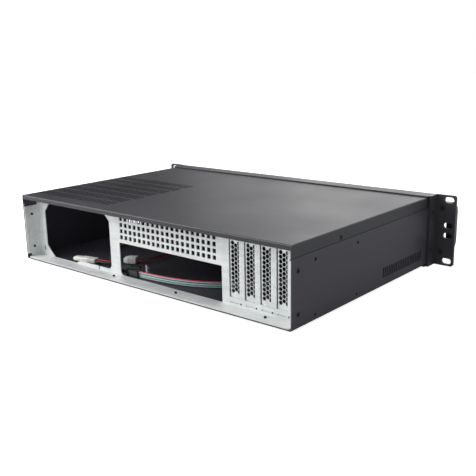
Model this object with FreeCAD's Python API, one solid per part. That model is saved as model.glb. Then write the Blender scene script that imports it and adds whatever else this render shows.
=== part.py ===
import FreeCAD, Part
import math
import os

# Two-unit rackmount server case, empty, as it leaves the factory.
# Millimetres. +Z is up, +Y is the rear, X runs across the case.
# The origin is the bottom centre of the whole case, under its middle.

Vec = FreeCAD.Vector

# ---------------------------------------------------------------- rack standard
EAR_TO_EAR = 482.6
PANEL_HEIGHT = 88.1
SLOT_SPAN_X = 465.1
SLOT_OUTER_Z = 76.2
SLOT_INNER_Z = 12.7
SLOT_LENGTH = 12.0
SLOT_WIDTH = 7.0

# ---------------------------------------------------------------- case body
BODY_WIDTH = 428.0
BODY_HEIGHT = 84.5
BODY_DEPTH = 296.0
HANDLE_REACH = 35.0
EAR_DROP = 2.0
RACK_Y = (HANDLE_REACH - BODY_DEPTH) / 2
REAR_Y = RACK_Y + BODY_DEPTH
FLOOR_Z = EAR_DROP
TOP_Z = FLOOR_Z + BODY_HEIGHT
HALF = BODY_WIDTH / 2
STEEL = 1.2
COVER_STEEL = 1.0

# ---------------------------------------------------------------- rear panel
PANEL_RECESS = 18.7
PANEL_Y = REAR_Y - PANEL_RECESS
PANEL_HALF = HALF - STEEL - 0.2
PSU_LEFT = 194.6
PSU_RIGHT = 66.4
IO_LEFT = 49.8
IO_RIGHT = -110.9
IO_BOTTOM = 2.4
IO_TOP = 42.6
VENT_ROWS = 4
VENT_COLUMNS = 20
VENT_HOLE = 4.8
VENT_PITCH_X = 7.69
VENT_PITCH_Z = 7.4
CARD_PITCH = 20.32
CARD_COUNT = 4
CARD_FIRST_X = -120.9
CARD_SLOT_WIDTH = 13.6
CARD_SLOT_BOTTOM = 11.0
CARD_SLOT_TOP = 73.0
LEDGE_TOP = 78.4

# ---------------------------------------------------------------- cover
FLANGE_HEIGHT = 13.0
LIP_HEIGHT = 5.4
COVER_FRONT_Y = RACK_Y + 21.3
BEND = 1.5
TOP_VENT_ROWS = 7
TOP_VENT_COLUMNS = 22

# ---------------------------------------------------------------- front
FRONT_SKIN = 2.0
FRONT_DEPTH = 20.0
FAN_SIZE = 80.0
FAN_DEPTH = 25.0
FAN_BORE = 38.0
FAN_HOLE_PITCH = 71.5
FAN_X = (146.0, 60.0)
FAN_Z = FLOOR_Z + STEEL + 0.4 + FAN_SIZE / 2
EAR_THICKNESS = 3.0
EAR_FLANGE = 17.0
HANDLE_X = 224.0
HANDLE_PITCH = 55.0
HANDLE_WIDTH = 12.0
HANDLE_BAR = 9.0
CONTROL_X = -185.0

# ---------------------------------------------------------------- board bay
BOARD_EDGE_X = 48.7
BOARD_REAR_Y = PANEL_Y - 3.3
STANDOFF_HEIGHT = 6.5
STANDOFF_FLATS = 5.0
BAY_HOLE_RADIUS = 1.75
BAY_HOLES_Y = (257.0, 179.0)
BAY_HOLES_Z = (62.9, 6.2)


# ================================================================ helpers
def block(x0, x1, y0, y1, z0, z1):
    corner = Vec(min(x0, x1), min(y0, y1), min(z0, z1))
    return Part.makeBox(abs(x1 - x0), abs(y1 - y0), abs(z1 - z0), corner)


def rod(start, along, radius, length):
    return Part.makeCylinder(radius, length, start, along)


def prism(start, along, radius, length, sides=6):
    """Many-sided rod, its flats as far out as the radius of a small round one."""
    away = Vec(along).normalize()
    spoke = Vec(0, 0, 1) if abs(away.z) < 0.9 else Vec(1, 0, 0)
    spoke = spoke * (radius / math.cos(math.pi / sides))
    corners = []
    for k in range(sides):
        turn = FreeCAD.Rotation(away, 360.0 * (k + 0.5) / sides)
        corners.append(start + turn.multVec(spoke))
    face = Part.Face(Part.makePolygon(corners + corners[:1]))
    return face.extrude(away * length)


def corner_arc(before, corner, after, radius):
    """Start, middle and end of the arc that rounds one corner."""
    back = (before - corner).normalize()
    ahead = (after - corner).normalize()
    half = back.getAngle(ahead) / 2
    reach = radius / math.tan(half)
    inward = (back + ahead).normalize()
    middle = corner + inward * (radius / math.sin(half) - radius)
    return corner + back * reach, middle, corner + ahead * reach


def faceted(points, radii, facets=4):
    """Closed wire through the points, each rounded corner drawn as short flats."""
    count = len(points)
    corners = []
    for i, point in enumerate(points):
        if radii[i] == 0:
            corners.append(point)
            continue
        start, middle, end = corner_arc(points[i - 1], point, points[(i + 1) % count], radii[i])
        arc = Part.Arc(start, middle, end).toShape()
        corners += arc.discretize(facets + 1)
    return Part.makePolygon(corners + corners[:1])


def rear_outline(corners, radii, y):
    """Outline on a plane across the case; corners are (x, height over the floor)."""
    return faceted([Vec(x, y, FLOOR_Z + z) for x, z in corners], radii)


def rectangle(x0, x1, z0, z1, y):
    return rear_outline([(x0, z0), (x1, z0), (x1, z1), (x0, z1)], [0] * 4, y)


def sheet(outer, holes, thickness):
    """Flat sheet with holes, thick towards the direction of the vector."""
    return Part.makeFace([outer] + holes, "Part::FaceMakerBullseye").extrude(thickness)


def mirrored(shape):
    return shape.mirror(Vec(0, 0, 0), Vec(1, 0, 0))


def fused(first, *others):
    return first.fuse(list(others)).removeSplitter()


def funnel(start, along, radius, end_radius, length, sides=6):
    """Many-sided cone between two radii."""
    away = Vec(along).normalize()
    spoke = Vec(0, 0, 1) if abs(away.z) < 0.9 else Vec(1, 0, 0)
    rings = []
    for centre, reach in ((start, radius), (start + away * length, end_radius)):
        corners = []
        for k in range(sides):
            turn = FreeCAD.Rotation(away, 360.0 * (k + 0.5) / sides)
            corners.append(centre + turn.multVec(spoke) * (reach / math.cos(math.pi / sides)))
        rings.append(Part.makePolygon(corners + corners[:1]))
    return Part.makeLoft(rings, True, True)


def flat_screw(head, inward, head_radius, head_depth, radius, length):
    """Countersunk screw: head centre on the surface, inward into the work."""
    cone = funnel(head, inward, head_radius, radius, head_depth)
    return fused(cone, prism(head + inward * (head_depth / 2), inward, radius * 0.6, length - head_depth / 2, 4))


def pan_screw(seat, inward, head_radius, head_height, radius, length):
    """Pan-head screw: seat is under the head, inward into the work."""
    head = prism(seat - inward * head_height, inward, head_radius, head_height, 8)
    return fused(head, prism(seat, inward, radius * 0.6, length, 4))


def export(name, shape):
    shape.exportStep("parts/" + name + ".step")


def export_group(name, solids):
    export(name, Part.makeCompound(solids))


# ================================================================ chassis tray
WALL_TOP = BODY_HEIGHT - COVER_STEEL
SEAM = BODY_HEIGHT - FLANGE_HEIGHT
JOG = 1.3
COVER_SCREW_Y = RACK_Y + 212.0
COVER_SCREW_Z = FLOOR_Z + 75.0
FLANGE_SCREW_Y = REAR_Y - 10.2
FLANGE_SCREW_Z = (57.8, 14.6)
FLOOR_SCREW_X = (53.2, -50.0, -174.4)
EAR_SCREW_Y = RACK_Y + 10.0
EAR_SCREW_Z = (64.9, 18.8)


def tray_section(y):
    """Folded section: floor, two walls, and their tops stepped inward for the cover."""
    half = [
        (HALF, 0),
        (HALF, SEAM - 0.5),
        (HALF - JOG, SEAM - 0.5),
        (HALF - JOG, WALL_TOP),
        (HALF - JOG - STEEL, WALL_TOP),
        (HALF - JOG - STEEL, SEAM - 1.7),
        (HALF - STEEL, SEAM - 1.7),
        (HALF - STEEL, STEEL),
    ]
    other = [(-x, z) for x, z in reversed(half)]
    radii = [2.0] + [0] * 7
    return rear_outline(half + other, radii + radii[::-1], y)


def side_vent(side):
    """Row of upright slots, low down at the front of a side wall."""
    slots = []
    for i in range(22):
        y = RACK_Y + 31.0 + i * 4.3
        slots.append(block(side * (HALF - 3), side * (HALF + 1), y, y + 2.7, FLOOR_Z + 10, FLOOR_Z + 21.5))
    return slots


def wall_screw_places():
    places = [(FLANGE_SCREW_Y, FLOOR_Z + z) for z in FLANGE_SCREW_Z]
    places += [(EAR_SCREW_Y, FLOOR_Z + z) for z in EAR_SCREW_Z]
    return places


def chassis_tray():
    tray = Part.Face(tray_section(RACK_Y + 0.1)).extrude(Vec(0, BODY_DEPTH - 0.1, 0))
    cuts = [block(-HALF - 1, HALF + 1, REAR_Y - 1.2, REAR_Y + 1, TOP_Z - FLANGE_HEIGHT - 0.5, TOP_Z)]
    for side in (-1, 1):
        cuts += side_vent(side)
        outward = Vec(side, 0, 0)
        for y, z in wall_screw_places():
            cuts.append(prism(Vec(side * (HALF - 4), y, z), outward, 1.6, 8))
        y = COVER_SCREW_Y
        wall = side * (HALF - JOG)
        cuts.append(block(wall - side * 3, wall + side, y - 1.8, y + 1.8, COVER_SCREW_Z - 2, TOP_Z))
    for y in BAY_HOLES_Y:
        for z in BAY_HOLES_Z:
            hole = Vec(-HALF - 1, RACK_Y + y, FLOOR_Z + z)
            cuts.append(rod(hole, Vec(1, 0, 0), BAY_HOLE_RADIUS, 5))
    for x in FLOOR_SCREW_X:
        cuts.append(prism(Vec(x, FLANGE_SCREW_Y, FLOOR_Z - 1), Vec(0, 0, 1), 1.6, 4))
    for x, y in standoff_places():
        cuts.append(prism(Vec(x, y, FLOOR_Z - 1), Vec(0, 0, 1), 1.5, 4))
    for x in FRONT_RIVET_X:
        cuts.append(prism(Vec(x, FRONT_RIVET_Y, FLOOR_Z - 1), Vec(0, 0, 1), 1.6, 4))
    return tray.cut(cuts)


# ================================================================ rear panel
def psu_opening(y):
    """Power supply opening: cut corners, and a lower edge that drops to the floor."""
    corners = [
        (PSU_RIGHT, 65.6),
        (75.5, 74.5),
        (184.0, 74.5),
        (PSU_LEFT, 62.0),
        (PSU_LEFT, 17.0),
        (180.0, 2.6),
        (135.0, 2.6),
        (128.0, 6.3),
        (PSU_RIGHT, 6.3),
    ]
    return rear_outline(corners, [3, 2, 2, 2, 3, 1, 2, 2, 6], y)


def vent_grid(y):
    """Grid of square holes over the connector opening."""
    first_x = 45.3
    first_z = 49.4
    reach = VENT_HOLE / 2
    holes = []
    for column in range(VENT_COLUMNS):
        x = first_x - column * VENT_PITCH_X
        for row in range(VENT_ROWS):
            z = first_z + row * VENT_PITCH_Z
            holes.append(rectangle(x - reach, x + reach, z - reach, z + reach, y))
    return holes


def card_slots(y):
    """Expansion slots, each with the slit and pilot hole for a cover's foot below it."""
    holes = []
    for i in range(CARD_COUNT):
        left = CARD_FIRST_X - i * CARD_PITCH
        right = left - CARD_SLOT_WIDTH
        holes.append(rectangle(left, right, CARD_SLOT_BOTTOM, CARD_SLOT_TOP, y))
        holes.append(rectangle(left - 1, left - 11.5, 5.0, 5.9, y))
        holes.append(hexagon(left - 15.2, 5.4, 2.2, y))
    return holes


def rear_panel():
    y = PANEL_Y
    edge = PANEL_HALF - 0.1
    neck = HALF - JOG - STEEL - 0.3
    ledge_x = CARD_FIRST_X + 2.5
    corners = [
        (edge, STEEL),
        (edge, SEAM - 2.6),
        (neck, SEAM - 2.2),
        (neck, 80.0),
        (204.0, WALL_TOP),
        (ledge_x, WALL_TOP),
        (ledge_x, LEDGE_TOP),
        (-neck, LEDGE_TOP),
        (-neck, SEAM - 2.2),
        (-edge, SEAM - 2.6),
        (-edge, STEEL),
    ]
    outer = rear_outline(corners, [0] * 11, y)
    connector = [(IO_LEFT, IO_BOTTOM), (IO_RIGHT, IO_BOTTOM), (IO_RIGHT, IO_TOP), (IO_LEFT, IO_TOP)]
    holes = [psu_opening(y), rear_outline(connector, [5, 1, 0.8, 0.8], y)]
    holes += vent_grid(y) + card_slots(y)
    holes.append(rectangle(198.9, 201.3, 9.2, 15.4, y))
    face = sheet(outer, holes, Vec(0, -STEEL, 0))
    floor = FLOOR_Z + STEEL
    back = REAR_Y - 0.4
    inner = y - STEEL
    corners = [Vec(edge, inner, floor), Vec(edge, back, floor), Vec(-edge, back, floor), Vec(-edge, inner, floor)]
    low = Part.Face(faceted(corners, [0, 5.0, 5.0, 0])).extrude(Vec(0, 0, STEEL))
    folds = [low]
    for side in (-1, 1):
        flange = block(side * edge, side * (edge - STEEL), inner, back - 5.0, floor, FLOOR_Z + SEAM - 2.6)
        flange = flange.fuse(block(side * edge, side * (edge - STEEL), inner, back, floor + 5.0, FLOOR_Z + SEAM - 2.6))
        folds.append(flange)
    shelf_z = FLOOR_Z + WALL_TOP - STEEL
    folds.append(block(ledge_x, 204.0, inner - 12, y, shelf_z, FLOOR_Z + WALL_TOP))
    ledge_z = FLOOR_Z + LEDGE_TOP
    folds.append(block(ledge_x, -neck, inner, y + 11.5, ledge_z - STEEL, ledge_z))
    cuts = [notch_in_edge(y)]
    for side in (-1, 1):
        for z in FLANGE_SCREW_Z:
            start = Vec(side * (edge - 3), FLANGE_SCREW_Y, FLOOR_Z + z)
            cuts.append(prism(start, Vec(side, 0, 0), 1.6, 6))
    for x in FLOOR_SCREW_X:
        cuts.append(prism(Vec(x, FLANGE_SCREW_Y, floor - 1), Vec(0, 0, 1), 1.6, 4))
    for x in card_screw_places():
        cuts.append(prism(Vec(x, y + 6, ledge_z - 4), Vec(0, 0, 1), 1.5, 6))
    return fused(face, *folds).cut(cuts)


def notch_in_edge(y):
    """Narrow notch in the lower edge of the power supply opening."""
    return block(89.2, 91.4, y - 1.3, y + 1, FLOOR_Z + 2.5, FLOOR_Z + 7)


# ================================================================ slot covers
HOLE_FLATS = 4.25
HOLE_PITCH = 4.67
HOLE_COLUMNS = (4.3, 8.45, 12.6)


def card_screw_places():
    return [CARD_FIRST_X - i * CARD_PITCH - 10.0 for i in range(CARD_COUNT)]


def hexagon(x, z, flats, y):
    radius = flats / math.sqrt(3)
    corners = []
    for k in range(6):
        angle = math.radians(60 * k)
        corners.append((x + radius * math.cos(angle), z + radius * math.sin(angle)))
    return rear_outline(corners, [0] * 6, y)


def slot_cover(i):
    """Perforated low-profile slot cover with a foot below and a screw tab on top."""
    thickness = 0.8
    left = CARD_FIRST_X - i * CARD_PITCH - 1.0
    right = left - 18.4
    y = PANEL_Y - STEEL
    corners = [
        (left, 9.5),
        (left, LEDGE_TOP + thickness),
        (right, LEDGE_TOP + thickness),
        (right, 9.5),
        (right + 6.4, 9.5),
        (right + 7.4, 8.0),
        (right + 7.4, 4.0),
        (left - 1.4, 4.0),
        (left - 1.4, 8.0),
        (left - 0.6, 9.5),
    ]
    outer = rear_outline(corners, [0] * 10, y)
    holes = []
    for column, offset in enumerate(HOLE_COLUMNS):
        first = 17.9 if column % 2 == 0 else 20.2
        for row in range(12 - column % 2):
            x = left + 1.0 - offset
            holes.append(hexagon(x, first + row * HOLE_PITCH, HOLE_FLATS, y))
    plate = sheet(outer, holes, Vec(0, -thickness, 0))
    z = FLOOR_Z + LEDGE_TOP
    tab = block(left, right, y - thickness, PANEL_Y + 11.0, z, z + thickness)
    hole = prism(Vec(card_screw_places()[i], PANEL_Y + 6, z - 1), Vec(0, 0, 1), 1.6, 4, 6)
    step = block(left + 1, right - 1, y + 1, y - 0.4, FLOOR_Z + 10.9, FLOOR_Z + 11.7)
    return fused(plate, tab).cut([hole, step])


def slot_cover_screws():
    seat_z = FLOOR_Z + LEDGE_TOP + 0.8
    screws = []
    for x in card_screw_places():
        screws.append(pan_screw(Vec(x, PANEL_Y + 6, seat_z), Vec(0, 0, -1), 2.9, 1.6, 1.45, 5.0))
    return screws


# ================================================================ cover
def top_vent():
    """Rows of slots over the power supply, each slot running front to back."""
    slots = []
    for row in range(TOP_VENT_ROWS):
        y = REAR_Y - 39.0 - row * 22.1
        for column in range(TOP_VENT_COLUMNS):
            x = 72.5 + column * 6.3
            slots.append(block(x, x + 2.8, y, y + 17.6, TOP_Z - 3, TOP_Z + 1))
    return slots


def top_cover():
    low = TOP_Z - FLANGE_HEIGHT
    shell = block(-HALF, HALF, COVER_FRONT_Y, REAR_Y, low, TOP_Z)
    edges = []
    for edge in shell.Edges:
        centre = edge.CenterOfMass
        on_top = abs(centre.z - TOP_Z) < 0.01
        if on_top and abs(centre.y - COVER_FRONT_Y) > 1:
            edges.append(edge)
    shell = shell.makeFillet(BEND, edges)
    inside = HALF - COVER_STEEL
    under = TOP_Z - COVER_STEEL
    shell = shell.cut(block(-inside, inside, COVER_FRONT_Y - 1, REAR_Y - COVER_STEEL, low - 1, under))
    shell = shell.cut(block(-inside, inside, REAR_Y - 2, REAR_Y + 1, low - 1, TOP_Z - LIP_HEIGHT))
    cuts = top_vent()
    for side in (-1, 1):
        head = Vec(side * HALF, COVER_SCREW_Y, COVER_SCREW_Z)
        cuts.append(funnel(head, Vec(-side, 0, 0), 2.9, 1.55, COVER_STEEL))
    return shell.cut(cuts)


def cover_screws():
    screws = []
    for side in (-1, 1):
        head = Vec(side * HALF, COVER_SCREW_Y, COVER_SCREW_Z)
        screws.append(flat_screw(head, Vec(-side, 0, 0), 2.85, COVER_STEEL, 1.45, 5.0))
    return screws


# ================================================================ rear and floor screws
def rear_panel_screws():
    screws = []
    for side in (-1, 1):
        for z in FLANGE_SCREW_Z:
            head = Vec(side * (HALF + 0.5), FLANGE_SCREW_Y, FLOOR_Z + z)
            screws.append(button_screw(head, Vec(-side, 0, 0)))
    for x in FLOOR_SCREW_X:
        head = Vec(x, FLANGE_SCREW_Y, FLOOR_Z - 0.5)
        screws.append(button_screw(head, Vec(0, 0, 1)))
    return screws


def button_screw(head, inward):
    """Thin-headed M3 screw, its head standing half a millimetre proud."""
    return fused(prism(head, inward, 2.5, 0.5, 8), prism(head, inward, 0.9, 4.6, 4))


# ================================================================ front panel
FRONT_RIVET_X = (-145.0, -20.0, 103.0, 200.0)
FRONT_RIVET_Y = RACK_Y + 10.0
POWER_Z = FLOOR_Z + 60.0
RESET_Z = FLOOR_Z + 45.0
LED_X = CONTROL_X + 15.0
LED_Z = (FLOOR_Z + 62.0, FLOOR_Z + 54.0)
USB_Z = (FLOOR_Z + 29.0, FLOOR_Z + 17.0)
USB_WIDTH = 13.2
USB_HEIGHT = 5.8
POWER_RADIUS = 6.0
RESET_RADIUS = 2.5


def fan_slots(centre_x):
    """Upright air slots in front of one fan, cut to the circle of its bore."""
    slots = []
    for i in range(11):
        x = (i - 5) * 6.6
        reach = math.sqrt(36.0 ** 2 - x ** 2)
        low = FAN_Z - reach
        slots.append(block(centre_x + x - 1.6, centre_x + x + 1.6, RACK_Y - 4, RACK_Y + 1, low, low + 2 * reach))
    return slots


def front_panel():
    """Folded front: a face with flanges turned back above and below the body."""
    low = 0.0
    high = PANEL_HEIGHT
    half = HALF - 0.1
    shell = block(-half, half, RACK_Y - FRONT_SKIN, RACK_Y + FRONT_DEPTH, low, high)
    edges = [e for e in shell.Edges if abs(e.CenterOfMass.y - RACK_Y + FRONT_SKIN) < 0.01]
    edges = [e for e in edges if e.Length > 200]
    shell = shell.makeFillet(1.8, edges)
    top_flange = high - 1.6
    shell = shell.cut(block(-half - 1, half + 1, RACK_Y, RACK_Y + FRONT_DEPTH + 1, FLOOR_Z, top_flange))
    cuts = []
    for x in FAN_X:
        cuts += fan_slots(x)
        cuts += fan_corner_holes(x, RACK_Y - 4, 5, 2.1)
    ahead = Vec(0, -1, 0)
    cuts.append(prism(Vec(CONTROL_X, RACK_Y + 1, POWER_Z), ahead, POWER_RADIUS + 0.3, 5, 16))
    cuts.append(prism(Vec(CONTROL_X, RACK_Y + 1, RESET_Z), ahead, RESET_RADIUS + 0.3, 5, 10))
    for z in LED_Z:
        cuts.append(prism(Vec(LED_X, RACK_Y + 1, z), ahead, 1.7, 5))
    for z in USB_Z:
        width = USB_WIDTH / 2 + 0.3
        height = USB_HEIGHT / 2 + 0.3
        cuts.append(block(CONTROL_X - width, CONTROL_X + width, RACK_Y - 4, RACK_Y + 1, z - height, z + height))
    for x in FRONT_RIVET_X:
        cuts.append(prism(Vec(x, FRONT_RIVET_Y, low - 1), Vec(0, 0, 1), 1.6, 4))
    return shell.cut(cuts)


def front_panel_rivets():
    """Flush rivets that join the lower flange to the floor."""
    rivets = []
    for x in FRONT_RIVET_X:
        start = Vec(x, FRONT_RIVET_Y, 0)
        shank = prism(start, Vec(0, 0, 1), 1.6, FLOOR_Z + STEEL, 6)
        head = prism(Vec(x, FRONT_RIVET_Y, FLOOR_Z + STEEL), Vec(0, 0, 1), 2.6, 0.8)
        rivets.append(fused(shank, head))
    return rivets


def front_rail():
    """Angle across the case that carries the front edge of the cover."""
    y = RACK_Y + 28.0
    inside = HALF - JOG - STEEL
    high = FLOOR_Z + WALL_TOP
    across = block(-inside, inside, y, y + 14, high - STEEL, high)
    down = block(-inside, inside, y, y + STEEL, high - 9, high - STEEL)
    return fused(across, down)


# ================================================================ ears and handles
EAR_MIDDLE = PANEL_HEIGHT / 2


def ear_slot(z):
    """Rounded rack slot, through the ear on the +X side."""
    x = SLOT_SPAN_X / 2
    reach = (SLOT_LENGTH - SLOT_WIDTH) / 2
    y = RACK_Y - EAR_THICKNESS - 1
    depth = EAR_THICKNESS + 2
    middle = block(x - reach, x + reach, y, y + depth, z - SLOT_WIDTH / 2, z + SLOT_WIDTH / 2)
    ends = [rod(Vec(x + s * reach, y, z), Vec(0, 1, 0), SLOT_WIDTH / 2, depth) for s in (-1, 1)]
    return fused(middle, *ends)


def right_ear():
    """Angle bracket on the +X side: a flange on the wall and a slotted ear."""
    tip = EAR_TO_EAR / 2
    front = RACK_Y - EAR_THICKNESS
    corners = [
        Vec(HALF, RACK_Y + EAR_FLANGE, 0),
        Vec(HALF, front, 0),
        Vec(tip, front, 0),
        Vec(tip, RACK_Y, 0),
        Vec(HALF + EAR_THICKNESS, RACK_Y, 0),
        Vec(HALF + EAR_THICKNESS, RACK_Y + EAR_FLANGE, 0),
    ]
    section = faceted(corners, [0, 2.5, 0, 0, 0, 0])
    ear = Part.Face(section).extrude(Vec(0, 0, PANEL_HEIGHT))
    tips = []
    for edge in ear.Edges:
        centre = edge.CenterOfMass
        at_tip = abs(centre.x - tip) < 0.01 and abs(centre.y - (front + RACK_Y) / 2) < 0.01
        if at_tip and abs(abs(centre.z - EAR_MIDDLE) - EAR_MIDDLE) < 0.01:
            tips.append(edge)
    ear = ear.makeChamfer(2.0, tips)
    cuts = []
    for span in (SLOT_OUTER_Z, SLOT_INNER_Z):
        for s in (-1, 1):
            cuts.append(ear_slot(EAR_MIDDLE + s * span / 2))
    for z in handle_screw_heights():
        cuts.append(funnel(Vec(HANDLE_X, RACK_Y, z), Vec(0, -1, 0), 3.9, 2.1, 2.0))
        cuts.append(prism(Vec(HANDLE_X, RACK_Y + 1, z), Vec(0, -1, 0), 2.1, 5))
    for z in EAR_SCREW_Z:
        head = Vec(HALF + EAR_THICKNESS, EAR_SCREW_Y, FLOOR_Z + z)
        cuts.append(funnel(head, Vec(-1, 0, 0), 2.95, 1.6, 1.5))
        cuts.append(prism(head, Vec(-1, 0, 0), 1.6, 4))
    return ear.cut(cuts)


def ear_screws():
    screws = []
    for side in (-1, 1):
        for z in EAR_SCREW_Z:
            head = Vec(side * (HALF + EAR_THICKNESS), EAR_SCREW_Y, FLOOR_Z + z)
            screws.append(flat_screw(head, Vec(-side, 0, 0), 2.85, 1.5, 1.5, 6.0))
    return screws


def handle_screw_heights():
    return [EAR_MIDDLE - HANDLE_PITCH / 2, EAR_MIDDLE + HANDLE_PITCH / 2]


def right_handle():
    """Bow handle on the +X side, standing out in front of the ear."""
    front = RACK_Y - HANDLE_REACH
    foot = RACK_Y - EAR_THICKNESS
    reach = (HANDLE_PITCH + HANDLE_BAR) / 2
    inner = reach - HANDLE_BAR
    x = HANDLE_X - HANDLE_WIDTH / 2
    corners = [
        Vec(x, foot, EAR_MIDDLE - reach),
        Vec(x, front, EAR_MIDDLE - reach),
        Vec(x, front, EAR_MIDDLE + reach),
        Vec(x, foot, EAR_MIDDLE + reach),
        Vec(x, foot, EAR_MIDDLE + inner),
        Vec(x, front + HANDLE_BAR, EAR_MIDDLE + inner),
        Vec(x, front + HANDLE_BAR, EAR_MIDDLE - inner),
        Vec(x, foot, EAR_MIDDLE - inner),
    ]
    bow = Part.Face(faceted(corners, [0, 14, 14, 0, 0, 6, 6, 0], 5)).extrude(Vec(HANDLE_WIDTH, 0, 0))
    rims = []
    for edge in bow.Edges:
        centre = edge.CenterOfMass
        on_side = abs(abs(centre.x - HANDLE_X) - HANDLE_WIDTH / 2) < 0.01
        if on_side and abs(centre.y - foot) > 0.5:
            rims.append(edge)
    bow = bow.makeChamfer(1.6, rims)
    for z in handle_screw_heights():
        bow = bow.cut(prism(Vec(HANDLE_X, foot + 1, z), Vec(0, -1, 0), 1.9, 12, 6))
    return bow


def handle_screws():
    screws = []
    for side in (-1, 1):
        for z in handle_screw_heights():
            head = Vec(side * HANDLE_X, RACK_Y, z)
            screws.append(flat_screw(head, Vec(0, -1, 0), 3.8, 2.0, 2.0, 11.0))
    return screws


# ================================================================ fans
def fan_corner_holes(centre_x, start_y, length, radius):
    reach = FAN_HOLE_PITCH / 2
    holes = []
    for sx in (-1, 1):
        for sz in (-1, 1):
            start = Vec(centre_x + sx * reach, start_y, FAN_Z + sz * reach)
            holes.append(prism(start, Vec(0, 1, 0), radius, length, 6))
    return holes


def fan_frame(centre_x):
    """Two square flanges on a round duct, and a spider that holds the motor."""
    back = Vec(0, 1, 0)
    centre = Vec(centre_x, RACK_Y, FAN_Z)
    half = FAN_SIZE / 2
    duct = prism(centre, back, half - 0.2, FAN_DEPTH, 24)
    plates = []
    for y in (RACK_Y, RACK_Y + FAN_DEPTH - 4):
        plates.append(block(centre_x - half, centre_x + half, y, y + 4, FAN_Z - half, FAN_Z + half))
    frame = fused(duct, *plates)
    frame = frame.cut(prism(centre, back, FAN_BORE - 0.3, FAN_DEPTH, 24))
    rear = RACK_Y + FAN_DEPTH - 3
    cup = prism(Vec(centre_x, rear, FAN_Z), back, 18.0, 3, 16)
    arms = []
    for k in range(4):
        arm = block(centre_x - 2, centre_x + 2, rear, rear + 3, FAN_Z + 10, FAN_Z + FAN_BORE + 1)
        arm.rotate(Vec(centre_x, 0, FAN_Z), back, 45 + 90 * k)
        arms.append(arm)
    frame = fused(frame, cup, *arms)
    return frame.cut(fan_corner_holes(centre_x, RACK_Y - 1, FAN_DEPTH + 2, 2.1))


def fan_blade(centre_x):
    """One blade: a flat paddle, wider at its tip, set across the air stream."""
    corners = [
        Vec(-8.0, 0, 15.0),
        Vec(8.0, 0, 15.0),
        Vec(11.0, 0, 35.5),
        Vec(-11.0, 0, 35.5),
    ]
    blade = Part.Face(Part.makePolygon(corners + corners[:1])).extrude(Vec(0, 1.2, 0))
    blade.rotate(Vec(0, 0, 0), Vec(0, 0, 1), 38.0)
    blade.translate(Vec(centre_x, RACK_Y + 11.5, FAN_Z))
    return blade


def fan_rotor(centre_x):
    """Hub cup with seven blades, turning about the fan's axis."""
    start = Vec(centre_x, RACK_Y + 3, FAN_Z)
    hub = prism(start, Vec(0, 1, 0), 18.0, 18.0, 16)
    blades = []
    for k in range(7):
        blade = fan_blade(centre_x)
        blade.rotate(Vec(centre_x, 0, FAN_Z), Vec(0, 1, 0), 360.0 * k / 7)
        blades.append(blade)
    return fused(hub, *blades)


def fan_screws():
    """Self-cutting screws from the front, two across the corners of each fan."""
    screws = []
    reach = FAN_HOLE_PITCH / 2
    for x in FAN_X:
        for s in (-1, 1):
            seat = Vec(x + s * reach, RACK_Y - FRONT_SKIN, FAN_Z + s * reach)
            screws.append(pan_screw(seat, Vec(0, 1, 0), 3.4, 1.4, 2.1, 9.0))
    return screws


# ================================================================ control board
BOARD_FRONT = RACK_Y + 9.0
BOARD_BACK = BOARD_FRONT + 1.6
BOARD_X = (CONTROL_X - 20.0, CONTROL_X + 24.0)
BOARD_Z = (FLOOR_Z + 1.6, FLOOR_Z + 72.0)
POST_PLACES = ((CONTROL_X - 15.0, FLOOR_Z + 67.0), (CONTROL_X + 19.0, FLOOR_Z + 67.0), (CONTROL_X + 19.0, FLOOR_Z + 8.0))


def control_board():
    board = block(BOARD_X[0], BOARD_X[1], BOARD_FRONT, BOARD_BACK, BOARD_Z[0], BOARD_Z[1])
    holes = [prism(Vec(x, BOARD_FRONT - 1, z), Vec(0, 1, 0), 1.6, 4, 6) for x, z in POST_PLACES]
    return board.cut(holes)


def control_board_posts():
    posts = []
    for x, z in POST_PLACES:
        post = prism(Vec(x, RACK_Y, z), Vec(0, 1, 0), 2.7, BOARD_FRONT - RACK_Y, 6)
        posts.append(post.cut(prism(Vec(x, BOARD_FRONT, z), Vec(0, -1, 0), 1.45, 6, 6)))
    return posts


def control_board_screws():
    screws = []
    for x, z in POST_PLACES:
        screws.append(pan_screw(Vec(x, BOARD_BACK, z), Vec(0, -1, 0), 2.8, 1.5, 1.45, 6.0))
    return screws


def push_button(z, radius, proud):
    """Cap in front of the panel, a collar behind it, and a stem to the switch."""
    x = CONTROL_X
    back = Vec(0, 1, 0)
    front = RACK_Y - FRONT_SKIN - proud
    cap = prism(Vec(x, front, z), back, radius, FRONT_SKIN + proud + 0.2, 16)
    collar = prism(Vec(x, RACK_Y + 0.2, z), back, radius + 1.2, 1.2, 16)
    stem = prism(Vec(x, RACK_Y + 1.4, z), back, 1.6, 2.4, 6)
    return fused(cap, collar, stem)


def panel_switches():
    """Two tactile switches on the board, one behind each button."""
    switches = []
    for z in (POWER_Z, RESET_Z):
        front = BOARD_FRONT - 3.6
        switches.append(block(CONTROL_X - 3, CONTROL_X + 3, front, BOARD_FRONT, z - 3, z + 3))
    return switches


def panel_led(z):
    lens = prism(Vec(LED_X, RACK_Y - FRONT_SKIN - 0.6, z), Vec(0, 1, 0), 1.5, 2.8)
    base = prism(Vec(LED_X, RACK_Y + 0.2, z), Vec(0, 1, 0), 1.9, BOARD_FRONT - RACK_Y - 0.2)
    return fused(lens, base)


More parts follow.
